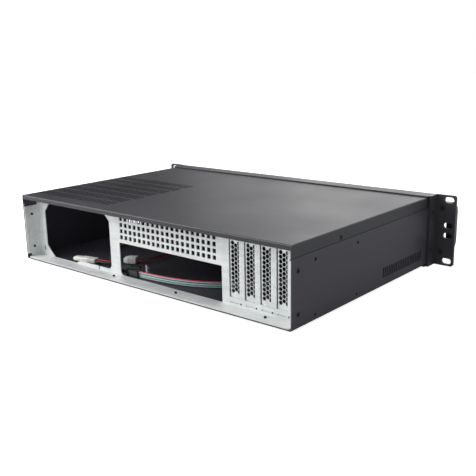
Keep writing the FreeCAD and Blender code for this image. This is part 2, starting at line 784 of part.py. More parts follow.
def usb_socket(z):
    """Metal shell with a tongue inside, open to the front."""
    x = CONTROL_X
    front = RACK_Y - FRONT_SKIN
    width = USB_WIDTH / 2
    height = USB_HEIGHT / 2
    shell = block(x - width, x + width, front, BOARD_FRONT, z - height, z + height)
    mouth = block(x - width + 0.4, x + width - 0.4, front - 1, BOARD_FRONT - 2, z - height + 0.4, z + height - 0.4)
    tongue = block(x - 5.6, x + 5.6, front + 1, BOARD_FRONT - 1, z + 0.2, z + 1.9)
    return fused(shell.cut(mouth), tongue)


def ribbon_header():
    """Pin header on the back of the board, low down."""
    return block(CONTROL_X - 3.5, CONTROL_X + 3.5, BOARD_BACK, RIBBON_START_Y, FLOOR_Z + 1.7, FLOOR_Z + 9.5)


# ================================================================ board standoffs
def standoff_places():
    """Micro-ATX holes: three columns, the first set back beside the connectors."""
    first = BOARD_EDGE_X - 6.35
    second = first - 157.48
    third = second - 45.72
    front_rows = (BOARD_REAR_Y - 165.1, BOARD_REAR_Y - 237.49)
    places = [(first, BOARD_REAR_Y - 33.02), (second, BOARD_REAR_Y - 10.16), (third, BOARD_REAR_Y - 10.16)]
    for x in (first, second, third):
        for y in front_rows:
            places.append((x, y))
    return places


def board_standoffs():
    """Hexagonal posts, threaded at both ends, screwed up through the floor."""
    floor = FLOOR_Z + STEEL
    posts = []
    for x, y in standoff_places():
        corners = []
        for k in range(6):
            angle = math.radians(60 * k)
            radius = STANDOFF_FLATS / math.sqrt(3)
            corners.append(Vec(x + radius * math.cos(angle), y + radius * math.sin(angle), floor))
        post = Part.Face(Part.makePolygon(corners + corners[:1])).extrude(Vec(0, 0, STANDOFF_HEIGHT))
        post = fused(post, prism(Vec(x, y, FLOOR_Z), Vec(0, 0, 1), 1.4, STEEL, 6))
        posts.append(post.cut(rod(Vec(x, y, floor + 1.5), Vec(0, 0, 1), 1.25, STANDOFF_HEIGHT)))
    return posts


# ================================================================ cables
RIBBON_START_Y = RACK_Y + 16.0
RIBBON_WIDTH = 7.6
RIBBON_THICKNESS = 1.2
RIBBON_Z = FLOOR_Z + 5.6
WIRE_RADIUS = 1.0


def rounded_route(points):
    """Straight runs joined by tangent arcs, each as large as its two runs allow."""
    edges = []
    radii = []
    place = points[0]
    for i in range(1, len(points) - 1):
        before = points[i - 1]
        corner = points[i]
        after = points[i + 1]
        half = (before - corner).getAngle(after - corner) / 2
        shorter = min(before.distanceToPoint(corner), corner.distanceToPoint(after))
        radius = 0.45 * shorter * math.tan(half)
        start, middle, end = corner_arc(before, corner, after, radius)
        edges.append(Part.LineSegment(place, start).toShape())
        edges.append(Part.Arc(start, middle, end).toShape())
        radii.append(round(radius, 1))
        place = end
    edges.append(Part.LineSegment(place, points[-1]).toShape())
    return Part.Wire(edges), radii


def swept(name, points, section, area):
    """Solid of one section along a route; prints its radii and how true its volume is."""
    path, radii = rounded_route(points)
    solid = path.makePipeShell([section], True, True)
    ratio = solid.Volume / (area * path.Length)
    print(name, "length", round(path.Length, 1), "volume ratio", round(ratio, 4), "radii", radii)
    return solid


def wire_along(name, points):
    around = points[1] - points[0]
    side = around.cross(Vec(0, 0, 1)).normalize() * WIRE_RADIUS
    corners = []
    for k in range(4):
        corners.append(points[0] + FreeCAD.Rotation(around, 90.0 * k + 45).multVec(side))
    area = 2 * WIRE_RADIUS ** 2
    return swept(name, points, Part.makePolygon(corners + corners[:1]), area)


def case_point(x, depth, height):
    """Point from its place across, its depth behind the rack face and its height."""
    return Vec(x, RACK_Y + depth, FLOOR_Z + height)


def ribbon_route():
    """From the control board back beside the wall, then across behind the rear panel."""
    plan = [
        (-185, 16), (-185, 50), (-178, 95), (-159, 138), (-133, 178), (-107, 212),
        (-83, 237), (-58, 253), (-31, 262), (-1, 267), (28, 269.0),
    ]
    return [Vec(x, RACK_Y + y, RIBBON_Z) for x, y in plan]


def panel_ribbon():
    """Flat cable of six wires, standing on its edge."""
    route = ribbon_route()
    ahead = (route[1] - route[0]).normalize()
    across = Vec(-ahead.y, ahead.x, 0) * (RIBBON_THICKNESS / 2)
    up = Vec(0, 0, RIBBON_WIDTH / 2)
    start = route[0]
    corners = [start - across - up, start + across - up, start + across + up, start - across + up]
    section = Part.makePolygon(corners + corners[:1])
    return swept("panel_ribbon", route, section, RIBBON_WIDTH * RIBBON_THICKNESS)


def turned(shape, place, heading):
    """Shape modelled at the origin along +X, turned to a heading and set in place."""
    shape.rotate(Vec(0, 0, 0), Vec(0, 0, 1), heading)
    shape.translate(place)
    return shape


def heading_of(start, end):
    return math.degrees(math.atan2(end.y - start.y, end.x - start.x))


def header_plugs():
    """Small black plugs at the ribbon's end, bunched and fanned out."""
    route = ribbon_route()
    end = route[-1]
    heading = heading_of(route[-2], end)
    plugs = [turned(block(0, 13.5, -2.6, 2.6, -3.9, 3.9), end, heading)]
    for length, width, height, place, angle in (
        (14.0, 2.6, 5.2, case_point(42.6, 269.6, 4.2), 4.0),
        (13.0, 2.6, 5.2, case_point(42.6, 264.0, 4.2), -6.0),
        (13.0, 2.6, 2.6, case_point(43.0, 274.0, 3.6), 0.0),
    ):
        body = block(0, length, -width / 2, width / 2, -height / 2, height / 2)
        plugs.append(turned(body, place, angle))
    plugs.append(turned(block(0, 13.5, -2.5, 2.5, -1.3, 1.3), case_point(32.0, 262.5, 11.2), 22.0))
    return plugs


def power_plug(place, heading, length, width, height):
    """Fan power plug: a shell with two cut corners and a ribbed grip on top."""
    section = faceted([
        Vec(0, -width / 2, -height / 2),
        Vec(0, width / 2, -height / 2),
        Vec(0, width / 2, height / 2 - 2.0),
        Vec(0, width / 2 - 2.0, height / 2),
        Vec(0, 2.0 - width / 2, height / 2),
        Vec(0, -width / 2, height / 2 - 2.0),
    ], [0] * 6)
    body = Part.Face(section).extrude(Vec(length, 0, 0))
    grooves = []
    for i in range(4):
        x = 3.0 + i * 2.4
        grooves.append(block(x, x + 1.2, 2.0 - width / 2, width / 2 - 2.0, height / 2 - 0.7, height / 2 + 1))
    return turned(body.cut(grooves), place, heading)


SIDE_PLUG_PLACE = case_point(114.0, 262.0, 5.6)
SIDE_PLUG_HEADING = 13.0
MIDDLE_PLUG_PLACE = case_point(75.0, 229.0, 5.8)
MIDDLE_PLUG_HEADING = 32.0


def plug_offset(place, heading, sideways, up):
    """Point on the back face of a plug."""
    angle = math.radians(heading)
    return place + Vec(-math.sin(angle), math.cos(angle), 0) * sideways + Vec(0, 0, up)


def lead_route(place, heading, sideways, points, entry):
    """Route from a fan to the back face of its plug, entering it square on."""
    angle = math.radians(heading)
    end = plug_offset(place, heading, sideways, 0)
    last = end - Vec(math.cos(angle), math.sin(angle), 0) * entry
    return points + [last, end]


def middle_lead(sideways, step):
    """Lead of the fan nearer the middle, along the floor to its plug."""
    points = [
        case_point(64 + step, 25.0, 6.0),
        case_point(64 + step, 45.0, 6.0),
        case_point(61 + step, 76.0, 3.0),
        case_point(58 + step, 112.0, 2.6),
        case_point(60 + step, 150.0, 2.8),
        case_point(65 + step, 190.0, 4.6),
    ]
    return lead_route(MIDDLE_PLUG_PLACE, MIDDLE_PLUG_HEADING, sideways, points, 16.0)


def side_lead(sideways, step):
    """Lead of the fan nearer the side wall, along the floor to its plug."""
    points = [
        case_point(150 + step, 25.0, 6.0),
        case_point(150 + step, 45.0, 6.0),
        case_point(152 + step, 70.0, 3.4),
        case_point(156 + step, 105.0, 2.8),
        case_point(157 + step, 140.0, 2.6),
        case_point(154 + step, 172.0, 2.6),
        case_point(144 + step, 197.0, 2.6),
        case_point(128 + step, 214.0, 2.6),
        case_point(113 + step, 226.0, 2.8),
        case_point(101 + step, 236.5, 3.0),
        case_point(90 + step, 247 - 0.4 * step, 3.8),
        case_point(91.5 + 0.6 * step, 256.5 - 0.73 * step, 5.0),
    ]
    return lead_route(SIDE_PLUG_PLACE, SIDE_PLUG_HEADING, sideways, points, 10.0)


def main():
    os.makedirs("parts", exist_ok=True)
    export("chassis_tray", chassis_tray())
    export("rear_panel", rear_panel())
    for i in range(CARD_COUNT):
        export("slot_cover_" + str(i + 1), slot_cover(i))
    export_group("slot_cover_screws", slot_cover_screws())
    export_group("rear_panel_screws", rear_panel_screws())
    export("top_cover", top_cover())
    export_group("cover_screws", cover_screws())
    export("front_panel", front_panel())
    export_group("front_panel_rivets", front_panel_rivets())
    export("front_rail", front_rail())
    export("right_ear", right_ear())
    export("left_ear", mirrored(right_ear()))
    export_group("ear_screws", ear_screws())
    export("right_handle", right_handle())
    export("left_handle", mirrored(right_handle()))
    export_group("handle_screws", handle_screws())
    for i, x in enumerate(FAN_X):
        export("fan_frame_" + str(i + 1), fan_frame(x))
        export("fan_rotor_" + str(i + 1), fan_rotor(x))
    export_group("fan_screws", fan_screws())
    export("control_board", control_board())
    export_group("control_board_posts", control_board_posts())
    export_group("control_board_screws", control_board_screws())
    export("power_button", push_button(POWER_Z, POWER_RADIUS, 2.0))
    export("reset_button", push_button(RESET_Z, RESET_RADIUS, 0.6))
    export_group("panel_switches", panel_switches())
    export("power_led", panel_led(LED_Z[0]))
    export("drive_led", panel_led(LED_Z[1]))
    for i, z in enumerate(USB_Z):
        export("usb_socket_" + str(i + 1), usb_socket(z))
    export("ribbon_header", ribbon_header())
    export_group("board_standoffs", board_standoffs())
    export("panel_ribbon", panel_ribbon())
    export_group("header_plugs", header_plugs())
    export("side_fan_plug", power_plug(SIDE_PLUG_PLACE, SIDE_PLUG_HEADING, 34.0, 10.0, 7.0))
    export("middle_fan_plug", power_plug(MIDDLE_PLUG_PLACE, MIDDLE_PLUG_HEADING, 16.0, 14.0, 9.0))
    export("middle_fan_red_wire", wire_along("middle_fan_red_wire", middle_lead(2.5, 0)))
    export("middle_fan_black_wire", wire_along("middle_fan_black_wire", middle_lead(-2.5, 4)))
    export("side_fan_red_wire", wire_along("side_fan_red_wire", side_lead(0, 0)))
    export("side_fan_yellow_wire", wire_along("side_fan_yellow_wire", side_lead(-3, 3)))
    export("side_fan_black_wire", wire_along("side_fan_black_wire", side_lead(3, -3)))


main()
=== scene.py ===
import math

import bmesh
import bpy
from mathutils import Matrix, Vector


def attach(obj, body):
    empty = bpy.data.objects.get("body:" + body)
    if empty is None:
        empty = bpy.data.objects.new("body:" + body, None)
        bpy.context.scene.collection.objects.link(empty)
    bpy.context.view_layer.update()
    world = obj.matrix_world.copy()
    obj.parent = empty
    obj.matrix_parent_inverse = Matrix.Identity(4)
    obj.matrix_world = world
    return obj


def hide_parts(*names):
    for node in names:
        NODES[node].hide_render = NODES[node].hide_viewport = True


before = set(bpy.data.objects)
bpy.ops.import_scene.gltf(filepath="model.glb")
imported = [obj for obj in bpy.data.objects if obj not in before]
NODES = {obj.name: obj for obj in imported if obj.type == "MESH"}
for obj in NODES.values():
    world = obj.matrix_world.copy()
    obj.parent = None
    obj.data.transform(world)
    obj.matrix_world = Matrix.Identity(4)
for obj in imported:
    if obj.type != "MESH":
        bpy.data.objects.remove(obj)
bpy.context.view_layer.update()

SCENE = bpy.context.scene
SCENE.view_settings.view_transform = "Standard"

# Places in the frame, in metres: the rack face, and the base of the body.
RACK_Y = -0.1305
FLOOR_Z = 0.002
MILLIMETRES = 1000.0
WHITE = (1, 1, 1, 1)

# The case, in millimetres: across from the middle, back from the rack face, up from the base.
BODY_DEPTH = 296.0
HALF = 214.0
EAR_MIDDLE = 42.05
HANDLE_X = 224.0
HANDLE_HALF_PITCH = 27.5
HANDLE_REACH = 35.0
FAN_X = (146.0, 60.0)
FAN_Z = 41.6
FAN_HOLE_REACH = 35.75
SLOT_PITCH = 20.32
SLOT_COUNT = 4


# ---------------------------------------------------------------- camera
CAMERA_PLACE = (-0.5854, 0.6776, 0.2553)
CAMERA_YAW, CAMERA_PITCH, CAMERA_ROLL = 0.705, 0.251, -0.018
CAMERA_LENS = 54.15
CAMERA_SENSOR = 36.0
CAMERA_SHIFT_Y = 0.0021
CAMERA_CLIP_START = 0.01


def camera_turn(yaw, pitch, roll):
    """Turned about the vertical from looking to the front, then down, then about its own line."""
    level = math.cos(pitch)
    ahead = Vector((math.sin(yaw) * level, -math.cos(yaw) * level, -math.sin(pitch)))
    right = ahead.cross(Vector((0, 0, 1))).normalized()
    up = right.cross(ahead)
    right_rolled = right * math.cos(roll) + up * math.sin(roll)
    up_rolled = up * math.cos(roll) - right * math.sin(roll)
    return Matrix((right_rolled, up_rolled, -ahead)).transposed().to_4x4()


def add_camera():
    data = bpy.data.cameras.new("camera")
    data.sensor_width = CAMERA_SENSOR
    data.lens = CAMERA_LENS
    data.shift_y = CAMERA_SHIFT_Y
    data.clip_start = CAMERA_CLIP_START
    camera = bpy.data.objects.new("camera", data)
    turn = camera_turn(CAMERA_YAW, CAMERA_PITCH, CAMERA_ROLL)
    camera.matrix_world = Matrix.Translation(Vector(CAMERA_PLACE)) @ turn
    SCENE.collection.objects.link(camera)
    SCENE.camera = camera


# ---------------------------------------------------------------- lights and stage
# Name, place, aim, width and height in metres, and watts.
LAMPS = [
    ("overhead", (0.1, 0.4, 1.9), (0, 0.1, 0), (1.4, 1.0), 9),
    ("beyond", (0.6, -2.0, 0.65), (0, 0, 0.08), (1.3, 0.8), 4.0),
    ("left", (0.95, 0.9, 0.75), (0.2, 0.16, 0.05), (0.9, 0.9), 18),
]
FLAG_PLACE = (2.05, -0.95, 0.75)
FLAG_AIM = (0, 0, 0.1)
FLAG_SIZE = (1.7, 1.2, 1)
SOFT_LIGHT = (0.55, 0.57, 0.6, 1)
SOFT_STRENGTH = 0.82
SEEN_STRENGTH = 1.0
FLOOR_SIZE = 14
FLOOR_PAPER = (0.8, 0.8, 0.8, 1)
FLOOR_GLOW = 0.85


def area_light(name, place, target, size, power):
    data = bpy.data.lights.new(name, "AREA")
    data.shape = "RECTANGLE"
    data.size, data.size_y = size
    data.energy = power
    lamp = bpy.data.objects.new(name, data)
    aim = Vector(target) - Vector(place)
    turn = aim.to_track_quat("-Z", "Y").to_matrix().to_4x4()
    lamp.matrix_world = Matrix.Translation(place) @ turn
    SCENE.collection.objects.link(lamp)


def add_flag():
    """Dark studio card beyond the left side, which shades the sheen of the cover there."""
    place = Vector(FLAG_PLACE)
    facing = (Vector(FLAG_AIM) - place).to_track_quat("Z", "Y")
    bpy.ops.mesh.primitive_plane_add(size=1, location=place, rotation=facing.to_euler())
    card = bpy.context.object
    card.name = "studio_flag"
    card.scale = FLAG_SIZE
    material, tree, shader = new_material("studio_flag")
    shader.inputs["Base Color"].default_value = (0.02, 0.02, 0.02, 1)
    shader.inputs["Roughness"].default_value = 0.9
    card.data.materials.append(material)
    card.visible_camera = False


def camera_or_mirror(tree):
    """1 for rays from the camera, mirrors and glass, 0 for light on surfaces."""
    path = tree.nodes.new("ShaderNodeLightPath")
    total = path.outputs["Is Camera Ray"]
    for name in ("Is Glossy Ray", "Is Transmission Ray"):
        joined = tree.nodes.new("ShaderNodeMath")
        joined.operation = "MAXIMUM"
        tree.links.new(total, joined.inputs[0])
        tree.links.new(path.outputs[name], joined.inputs[1])
        total = joined.outputs[0]
    return total


def add_world():
    world = bpy.data.worlds.new("studio")
    SCENE.world = world
    world.use_nodes = True
    tree = world.node_tree
    tree.nodes.clear()
    out = tree.nodes.new("ShaderNodeOutputWorld")
    mix = tree.nodes.new("ShaderNodeMixShader")
    soft = tree.nodes.new("ShaderNodeBackground")
    soft.inputs["Color"].default_value = SOFT_LIGHT
    soft.inputs["Strength"].default_value = SOFT_STRENGTH
    seen = tree.nodes.new("ShaderNodeBackground")
    seen.inputs["Color"].default_value = WHITE
    seen.inputs["Strength"].default_value = SEEN_STRENGTH
    tree.links.new(camera_or_mirror(tree), mix.inputs[0])
    tree.links.new(soft.outputs[0], mix.inputs[1])
    tree.links.new(seen.outputs[0], mix.inputs[2])
    tree.links.new(mix.outputs[0], out.inputs["Surface"])


def add_floor():
    """Pale paper, which the camera sees lifted to white except in the shadow."""
    bpy.ops.mesh.primitive_plane_add(size=FLOOR_SIZE, location=(0, 0, 0))
    floor = bpy.context.object
    floor.name = "studio_floor"
    material = bpy.data.materials.new("studio_floor")
    material.use_nodes = True
    tree = material.node_tree
    tree.nodes.clear()
    out = tree.nodes.new("ShaderNodeOutputMaterial")
    paper = tree.nodes.new("ShaderNodeBsdfDiffuse")
    paper.inputs["Color"].default_value = FLOOR_PAPER
    glow = tree.nodes.new("ShaderNodeEmission")
    glow.inputs["Color"].default_value = WHITE
    glow.inputs["Strength"].default_value = FLOOR_GLOW
    both = tree.nodes.new("ShaderNodeAddShader")
    mix = tree.nodes.new("ShaderNodeMixShader")
    path = tree.nodes.new("ShaderNodeLightPath")
    tree.links.new(path.outputs["Is Camera Ray"], mix.inputs[0])
    tree.links.new(paper.outputs[0], both.inputs[0])
    tree.links.new(glow.outputs[0], both.inputs[1])
    tree.links.new(paper.outputs[0], mix.inputs[1])
    tree.links.new(both.outputs[0], mix.inputs[2])
    tree.links.new(mix.outputs[0], out.inputs["Surface"])
    floor.data.materials.append(material)


# ---------------------------------------------------------------- materials
def new_material(name):
    material = bpy.data.materials.new(name)
    material.use_nodes = True
    tree = material.node_tree
    return material, tree, tree.nodes["Principled BSDF"]


def surface_noise(tree, scale, detail=3.0, stretch=(1, 1, 1)):
    """Noise fixed to the object's own coordinates, in metres."""
    coords = tree.nodes.new("ShaderNodeTexCoord")
    mapping = tree.nodes.new("ShaderNodeMapping")
    mapping.inputs["Scale"].default_value = stretch
    noise = tree.nodes.new("ShaderNodeTexNoise")
    noise.inputs["Scale"].default_value = scale
    noise.inputs["Detail"].default_value = detail
    tree.links.new(coords.outputs["Object"], mapping.inputs["Vector"])
    tree.links.new(mapping.outputs["Vector"], noise.inputs["Vector"])
    return noise.outputs["Fac"]


def ramp(tree, factor, stops):
    node = tree.nodes.new("ShaderNodeValToRGB")
    elements = node.color_ramp.elements
    while len(elements) < len(stops):
        elements.new(0.5)
    for element, (place, color) in zip(elements, stops):
        element.position = place
        element.color = (*color, 1)
    tree.links.new(factor, node.inputs["Fac"])
    return node.outputs["Color"]


def spread(tree, factor, low, high, start=0.3, end=0.7):
    node = tree.nodes.new("ShaderNodeMapRange")
    node.inputs["From Min"].default_value = start
    node.inputs["From Max"].default_value = end
    node.inputs["To Min"].default_value = low
    node.inputs["To Max"].default_value = high
    tree.links.new(factor, node.inputs["Value"])
    return node.outputs["Result"]


def add_bump(tree, shader, height, distance, strength=0.5):
    node = tree.nodes.new("ShaderNodeBump")
    node.inputs["Distance"].default_value = distance
    node.inputs["Strength"].default_value = strength
    tree.links.new(height, node.inputs["Height"])
    tree.links.new(node.outputs["Normal"], shader.inputs["Normal"])


def tinted(color, gain):
    return tuple(min(1.0, c * gain) for c in color)


def painted(name, color, rough, grain=1400.0, depth=0.00006, gloss=0.42):
    """Powder coat: fine pebbled bump, slow changes of gloss and tone."""
    material, tree, shader = new_material(name)
    slow = surface_noise(tree, 9.0)
    tone = ramp(tree, slow, [(0.3, tinted(color, 0.9)), (0.7, tinted(color, 1.12))])
    tree.links.new(tone, shader.inputs["Base Color"])
    tree.links.new(spread(tree, slow, rough - 0.04, rough + 0.05), shader.inputs["Roughness"])
    shader.inputs["Specular IOR Level"].default_value = gloss
    add_bump(tree, shader, surface_noise(tree, grain, 2.0), depth, 0.35)
    return material


def bare_metal(name, color, rough, stretch, metallic=1.0, spangle=55.0):
    """Rolled sheet: streaks along the mill direction and a faint zinc spangle."""
    material, tree, shader = new_material(name)
    shader.inputs["Metallic"].default_value = metallic
    streak = surface_noise(tree, 260.0, 3.0, stretch)
    patch = surface_noise(tree, spangle, 2.0)
    mixed = tree.nodes.new("ShaderNodeMix")
    mixed.inputs["Factor"].default_value = 0.5
    tree.links.new(streak, mixed.inputs["A"])
    tree.links.new(patch, mixed.inputs["B"])
    blend = mixed.outputs["Result"]
    tone = ramp(tree, blend, [(0.35, tinted(color, 0.88)), (0.65, tinted(color, 1.08))])
    tree.links.new(tone, shader.inputs["Base Color"])
    tree.links.new(spread(tree, blend, rough - 0.06, rough + 0.08), shader.inputs["Roughness"])
    add_bump(tree, shader, streak, 0.00005, 0.25)
    return material


def plastic(name, color, rough, grain=600.0, clear=0.0):
    """Moulded plastic: faint texture, tone drifting slightly."""
    material, tree, shader = new_material(name)
    slow = surface_noise(tree, 120.0)
    tone = ramp(tree, slow, [(0.3, tinted(color, 0.9)), (0.7, tinted(color, 1.08))])
    tree.links.new(tone, shader.inputs["Base Color"])
    tree.links.new(spread(tree, slow, rough - 0.05, rough + 0.06), shader.inputs["Roughness"])
    shader.inputs["Transmission Weight"].default_value = clear
    add_bump(tree, shader, surface_noise(tree, grain, 2.0), 0.00004, 0.3)
    return material


def strand_material(name, rough):
    """Insulation whose colour comes from the strand that it is on."""
    material, tree, shader = new_material(name)
    strand = tree.nodes.new("ShaderNodeAttribute")
    strand.attribute_name = "strand"
    scuff = surface_noise(tree, 300.0)
    mixed = tree.nodes.new("ShaderNodeMix")
    mixed.data_type = "RGBA"
    mixed.blend_type = "MULTIPLY"
    mixed.inputs["Factor"].default_value = 1.0
    tree.links.new(strand.outputs["Color"], mixed.inputs["A"])
    shade = ramp(tree, scuff, [(0.3, (0.85, 0.85, 0.85)), (0.7, (1, 1, 1))])
    tree.links.new(shade, mixed.inputs["B"])
    tree.links.new(mixed.outputs["Result"], shader.inputs["Base Color"])
    tree.links.new(spread(tree, scuff, rough - 0.05, rough + 0.05), shader.inputs["Roughness"])
    return material


def wear(node, material):
    for slot in NODES[node].material_slots:
        slot.material = material


def make_materials():
    black = (0.027, 0.027, 0.032)
    zinc = (0.70, 0.72, 0.71)
    return {
        "cover_black": painted("cover_black", black, 0.42),
        "case_black": painted("case_black", (0.038, 0.035, 0.046), 0.4),
        "ear_black": painted("ear_black", (0.036, 0.036, 0.040), 0.36, gloss=0.5),
        "handle_black": painted("handle_black", (0.014, 0.014, 0.016), 0.3, 2400.0, 0.00003),
        "ear_screw": painted("ear_screw", (0.022, 0.022, 0.025), 0.36, 2600.0, 0.00002, 0.4),
        "screw_black": painted("screw_black", (0.007, 0.007, 0.008), 0.34, 2600.0, 0.00002, 0.2),
        "panel_zinc": bare_metal("panel_zinc", zinc, 0.5, (0.08, 1, 1), 0.25),
        "cover_zinc": bare_metal("cover_zinc", zinc, 0.38, (1, 1, 0.08), 0.6),
        "screw_zinc": bare_metal("screw_zinc", (0.58, 0.59, 0.6), 0.24, (1, 1, 1), spangle=400.0),
        "plastic_black": plastic("plastic_black", (0.016, 0.016, 0.017), 0.5),
        "plastic_white": plastic("plastic_white", (0.86, 0.86, 0.82), 0.42),
        "board": plastic("board", (0.012, 0.11, 0.04), 0.4),
        "button": plastic("button", (0.09, 0.09, 0.095), 0.3),
        "lens_green": plastic("lens_green", (0.05, 0.5, 0.12), 0.15, clear=0.4),
        "lens_red": plastic("lens_red", (0.6, 0.04, 0.03), 0.15, clear=0.4),
        "wire_red": plastic("wire_red", (0.42, 0.02, 0.025), 0.38),
        "wire_black": plastic("wire_black", (0.02, 0.02, 0.02), 0.38),
        "wire_yellow": plastic("wire_yellow", (0.45, 0.35, 0.06), 0.38),
        "ribbon": strand_material("ribbon", 0.4),
    }


WEARS = {
    "cover_black": ("top_cover", "front_panel"),
    "case_black": ("chassis_tray",),
    "ear_black": ("left_ear", "right_ear"),
    "handle_black": ("left_handle", "right_handle"),
    "screw_black": (
        "cover_screws", "ear_screws", "handle_screws", "rear_panel_screws", "fan_screws",
        "front_panel_rivets",
    ),
    "panel_zinc": ("rear_panel", "front_rail"),
    "cover_zinc": ("slot_cover_1", "slot_cover_2", "slot_cover_3", "slot_cover_4"),
    "screw_zinc": (
        "slot_cover_screws", "board_standoffs", "control_board_posts", "control_board_screws",
        "usb_socket_1", "usb_socket_2",
    ),
    "plastic_black": (
        "fan_frame_1", "fan_frame_2", "fan_rotor_1", "fan_rotor_2", "panel_switches",
        "ribbon_header", "header_plugs",
    ),
    "board": ("control_board",),
    "button": ("power_button", "reset_button"),
    "lens_green": ("power_led",),
    "lens_red": ("drive_led",),
}


# ---------------------------------------------------------------- cords
def case_point(x, depth, height):
    """Metres, from millimetres across, back from the rack face and up from the base."""
    return Vector((x / MILLIMETRES, RACK_Y + depth / MILLIMETRES, FLOOR_Z + height / MILLIMETRES))


RIBBON_PLAN = [
    (-185, 16), (-185, 50), (-178, 95), (-159, 138), (-133, 178), (-107, 212),
    (-83, 237), (-58, 253), (-31, 262), (-1, 267), (28, 269.0),
]
RIBBON_WIDTH = 0.0076
RIBBON_HEIGHT = 5.6
STRAND_SIDES = 10
# From the lowest strand to the highest.
STRAND_COLORS = [
    (0.50, 0.53, 0.51), (0.06, 0.32, 0.26), (0.68, 0.70, 0.67),
    (0.03, 0.18, 0.22), (0.55, 0.58, 0.70), (0.58, 0.03, 0.03),
]


def nurbs(name, points, bevel=0.0):
    curve = bpy.data.curves.new(name, "CURVE")
    curve.dimensions = "3D"
    curve.bevel_depth = bevel
    curve.bevel_resolution = 3
    curve.resolution_u = 8
    spline = curve.splines.new("NURBS")
    spline.points.add(len(points) - 1)
    for slot, point in zip(spline.points, points):
        slot.co = (*point, 1)
    spline.order_u = 3
    spline.use_endpoint_u = True
    cord = bpy.data.objects.new(name, curve)
    SCENE.collection.objects.link(cord)
    return cord


def spline_path(points):
    """Points read from the smooth line through a route."""
    guide = nurbs("guide", points)
    bpy.context.view_layer.update()
    mesh = bpy.data.meshes.new_from_object(guide)
    path = [v.co.copy() for v in mesh.vertices]
    curve = guide.data
    bpy.data.objects.remove(guide)
    bpy.data.curves.remove(curve)
    bpy.data.meshes.remove(mesh)
    return path


def neighbours(path, i):
    return path[max(i - 1, 0)], path[min(i + 1, len(path) - 1)]


def strand_verts(path, height, radius):
    """Rings of one strand; the strands are a little flat, and press on each other."""
    verts = []
    for i, point in enumerate(path):
        before, after = neighbours(path, i)
        ahead = (after - before).normalized()
        across = Vector((-ahead.y, ahead.x, 0))
        for k in range(STRAND_SIDES):
            angle = 2 * math.pi * k / STRAND_SIDES
            aside = across * math.cos(angle) * radius * 0.9
            verts.append(point + aside + Vector((0, 0, 1.03 * math.sin(angle) * radius + height)))
    return verts


def strand_faces(base, rings):
    faces = []
    for start in range(base, base + (rings - 1) * STRAND_SIDES, STRAND_SIDES):
        for k in range(STRAND_SIDES):
            a = start + k
            b = start + (k + 1) % STRAND_SIDES
            faces.append((a, b, b + STRAND_SIDES, a + STRAND_SIDES))
    last = base + (rings - 1) * STRAND_SIDES
    faces.append(tuple(base + k for k in reversed(range(STRAND_SIDES))))
    faces.append(tuple(last + k for k in range(STRAND_SIDES)))
    return faces


def ribbon():
    """Flat cable on its edge: strands one above another, each its own colour."""
    path = spline_path([case_point(x, y, RIBBON_HEIGHT) for x, y in RIBBON_PLAN])
    strands = len(STRAND_COLORS)
    radius = RIBBON_WIDTH / strands / 2
    verts, faces, colors = [], [], []
    for s, color in enumerate(STRAND_COLORS):
        skin = strand_faces(len(verts), len(path))
        verts += strand_verts(path, (s - (strands - 1) / 2) * 2 * radius, radius)
        faces += skin
        colors += [color] * len(skin)
    mesh = bpy.data.meshes.new("flat_cable")
    mesh.from_pydata(verts, [], faces)
    layer = mesh.color_attributes.new("strand", "FLOAT_COLOR", "CORNER")
    for face, color in zip(mesh.polygons, colors):
        face.use_smooth = True
        for loop in face.loop_indices:
            layer.data[loop].color = (*color, 1)
    piece = bpy.data.objects.new("flat_cable", mesh)
    SCENE.collection.objects.link(piece)
    return piece, path


# Where the leads enter: across, back, up, and the heading in degrees.
SIDE_PLUG = (114.0, 262.0, 5.6, 13.0)
MIDDLE_PLUG = (75.0, 229.0, 5.8, 32.0)
# Length, width and height.
SIDE_PLUG_SIZE = (34.0, 10.0, 7.0)
MIDDLE_PLUG_SIZE = (16.0, 14.0, 9.0)


def lead_points(plug, sideways, plan, step, entry, lift):
    """Control points of a fan lead: along the floor, then square into its plug.

    It leaves the plan by step, is raised by lift near the plug, and enters it sideways from its
    middle, straight for the length of entry.
    """
    points = [case_point(x + step * by_x, y - step * by_y, z) for x, y, z, by_x, by_y in plan]
    for point in points[-2:]:
        point.z += lift / MILLIMETRES
    x, y, z, heading = plug
    z += lift
    angle = math.radians(heading)
    x -= math.sin(angle) * sideways
    y += math.cos(angle) * sideways
    points.append(case_point(x - entry * math.cos(angle), y - entry * math.sin(angle), z))
    points.append(case_point(x, y, z))
    return points


# Across, back and up in millimetres, then how far a neighbour's step moves it.
MIDDLE_PLAN = [
    (64, 25.0, 6.0, 1, 0), (64, 45.0, 6.0, 1, 0), (61, 76.0, 3.0, 1, 0),
    (58, 112.0, 2.6, 1, 0), (60, 150.0, 2.8, 1, 0), (65, 190.0, 4.6, 1, 0),
]
SIDE_PLAN = [
    (150, 25.0, 6.0, 1, 0), (150, 45.0, 6.0, 1, 0), (152, 70.0, 3.4, 1, 0),
    (156, 105.0, 2.8, 1, 0), (158, 140.0, 2.6, 1, 0), (158, 172.0, 2.6, 1, 0),
    (150, 197.0, 2.6, 1, 0), (133, 214.0, 2.6, 1, 0), (113, 226.0, 2.8, 1, 0),
    (101, 236.5, 3.0, 1, 0), (90, 247.0, 3.8, 1, 0.4), (91.5, 256.5, 5.0, 0.6, 0.73),
]
WIRE_DIAMETER = 0.0016
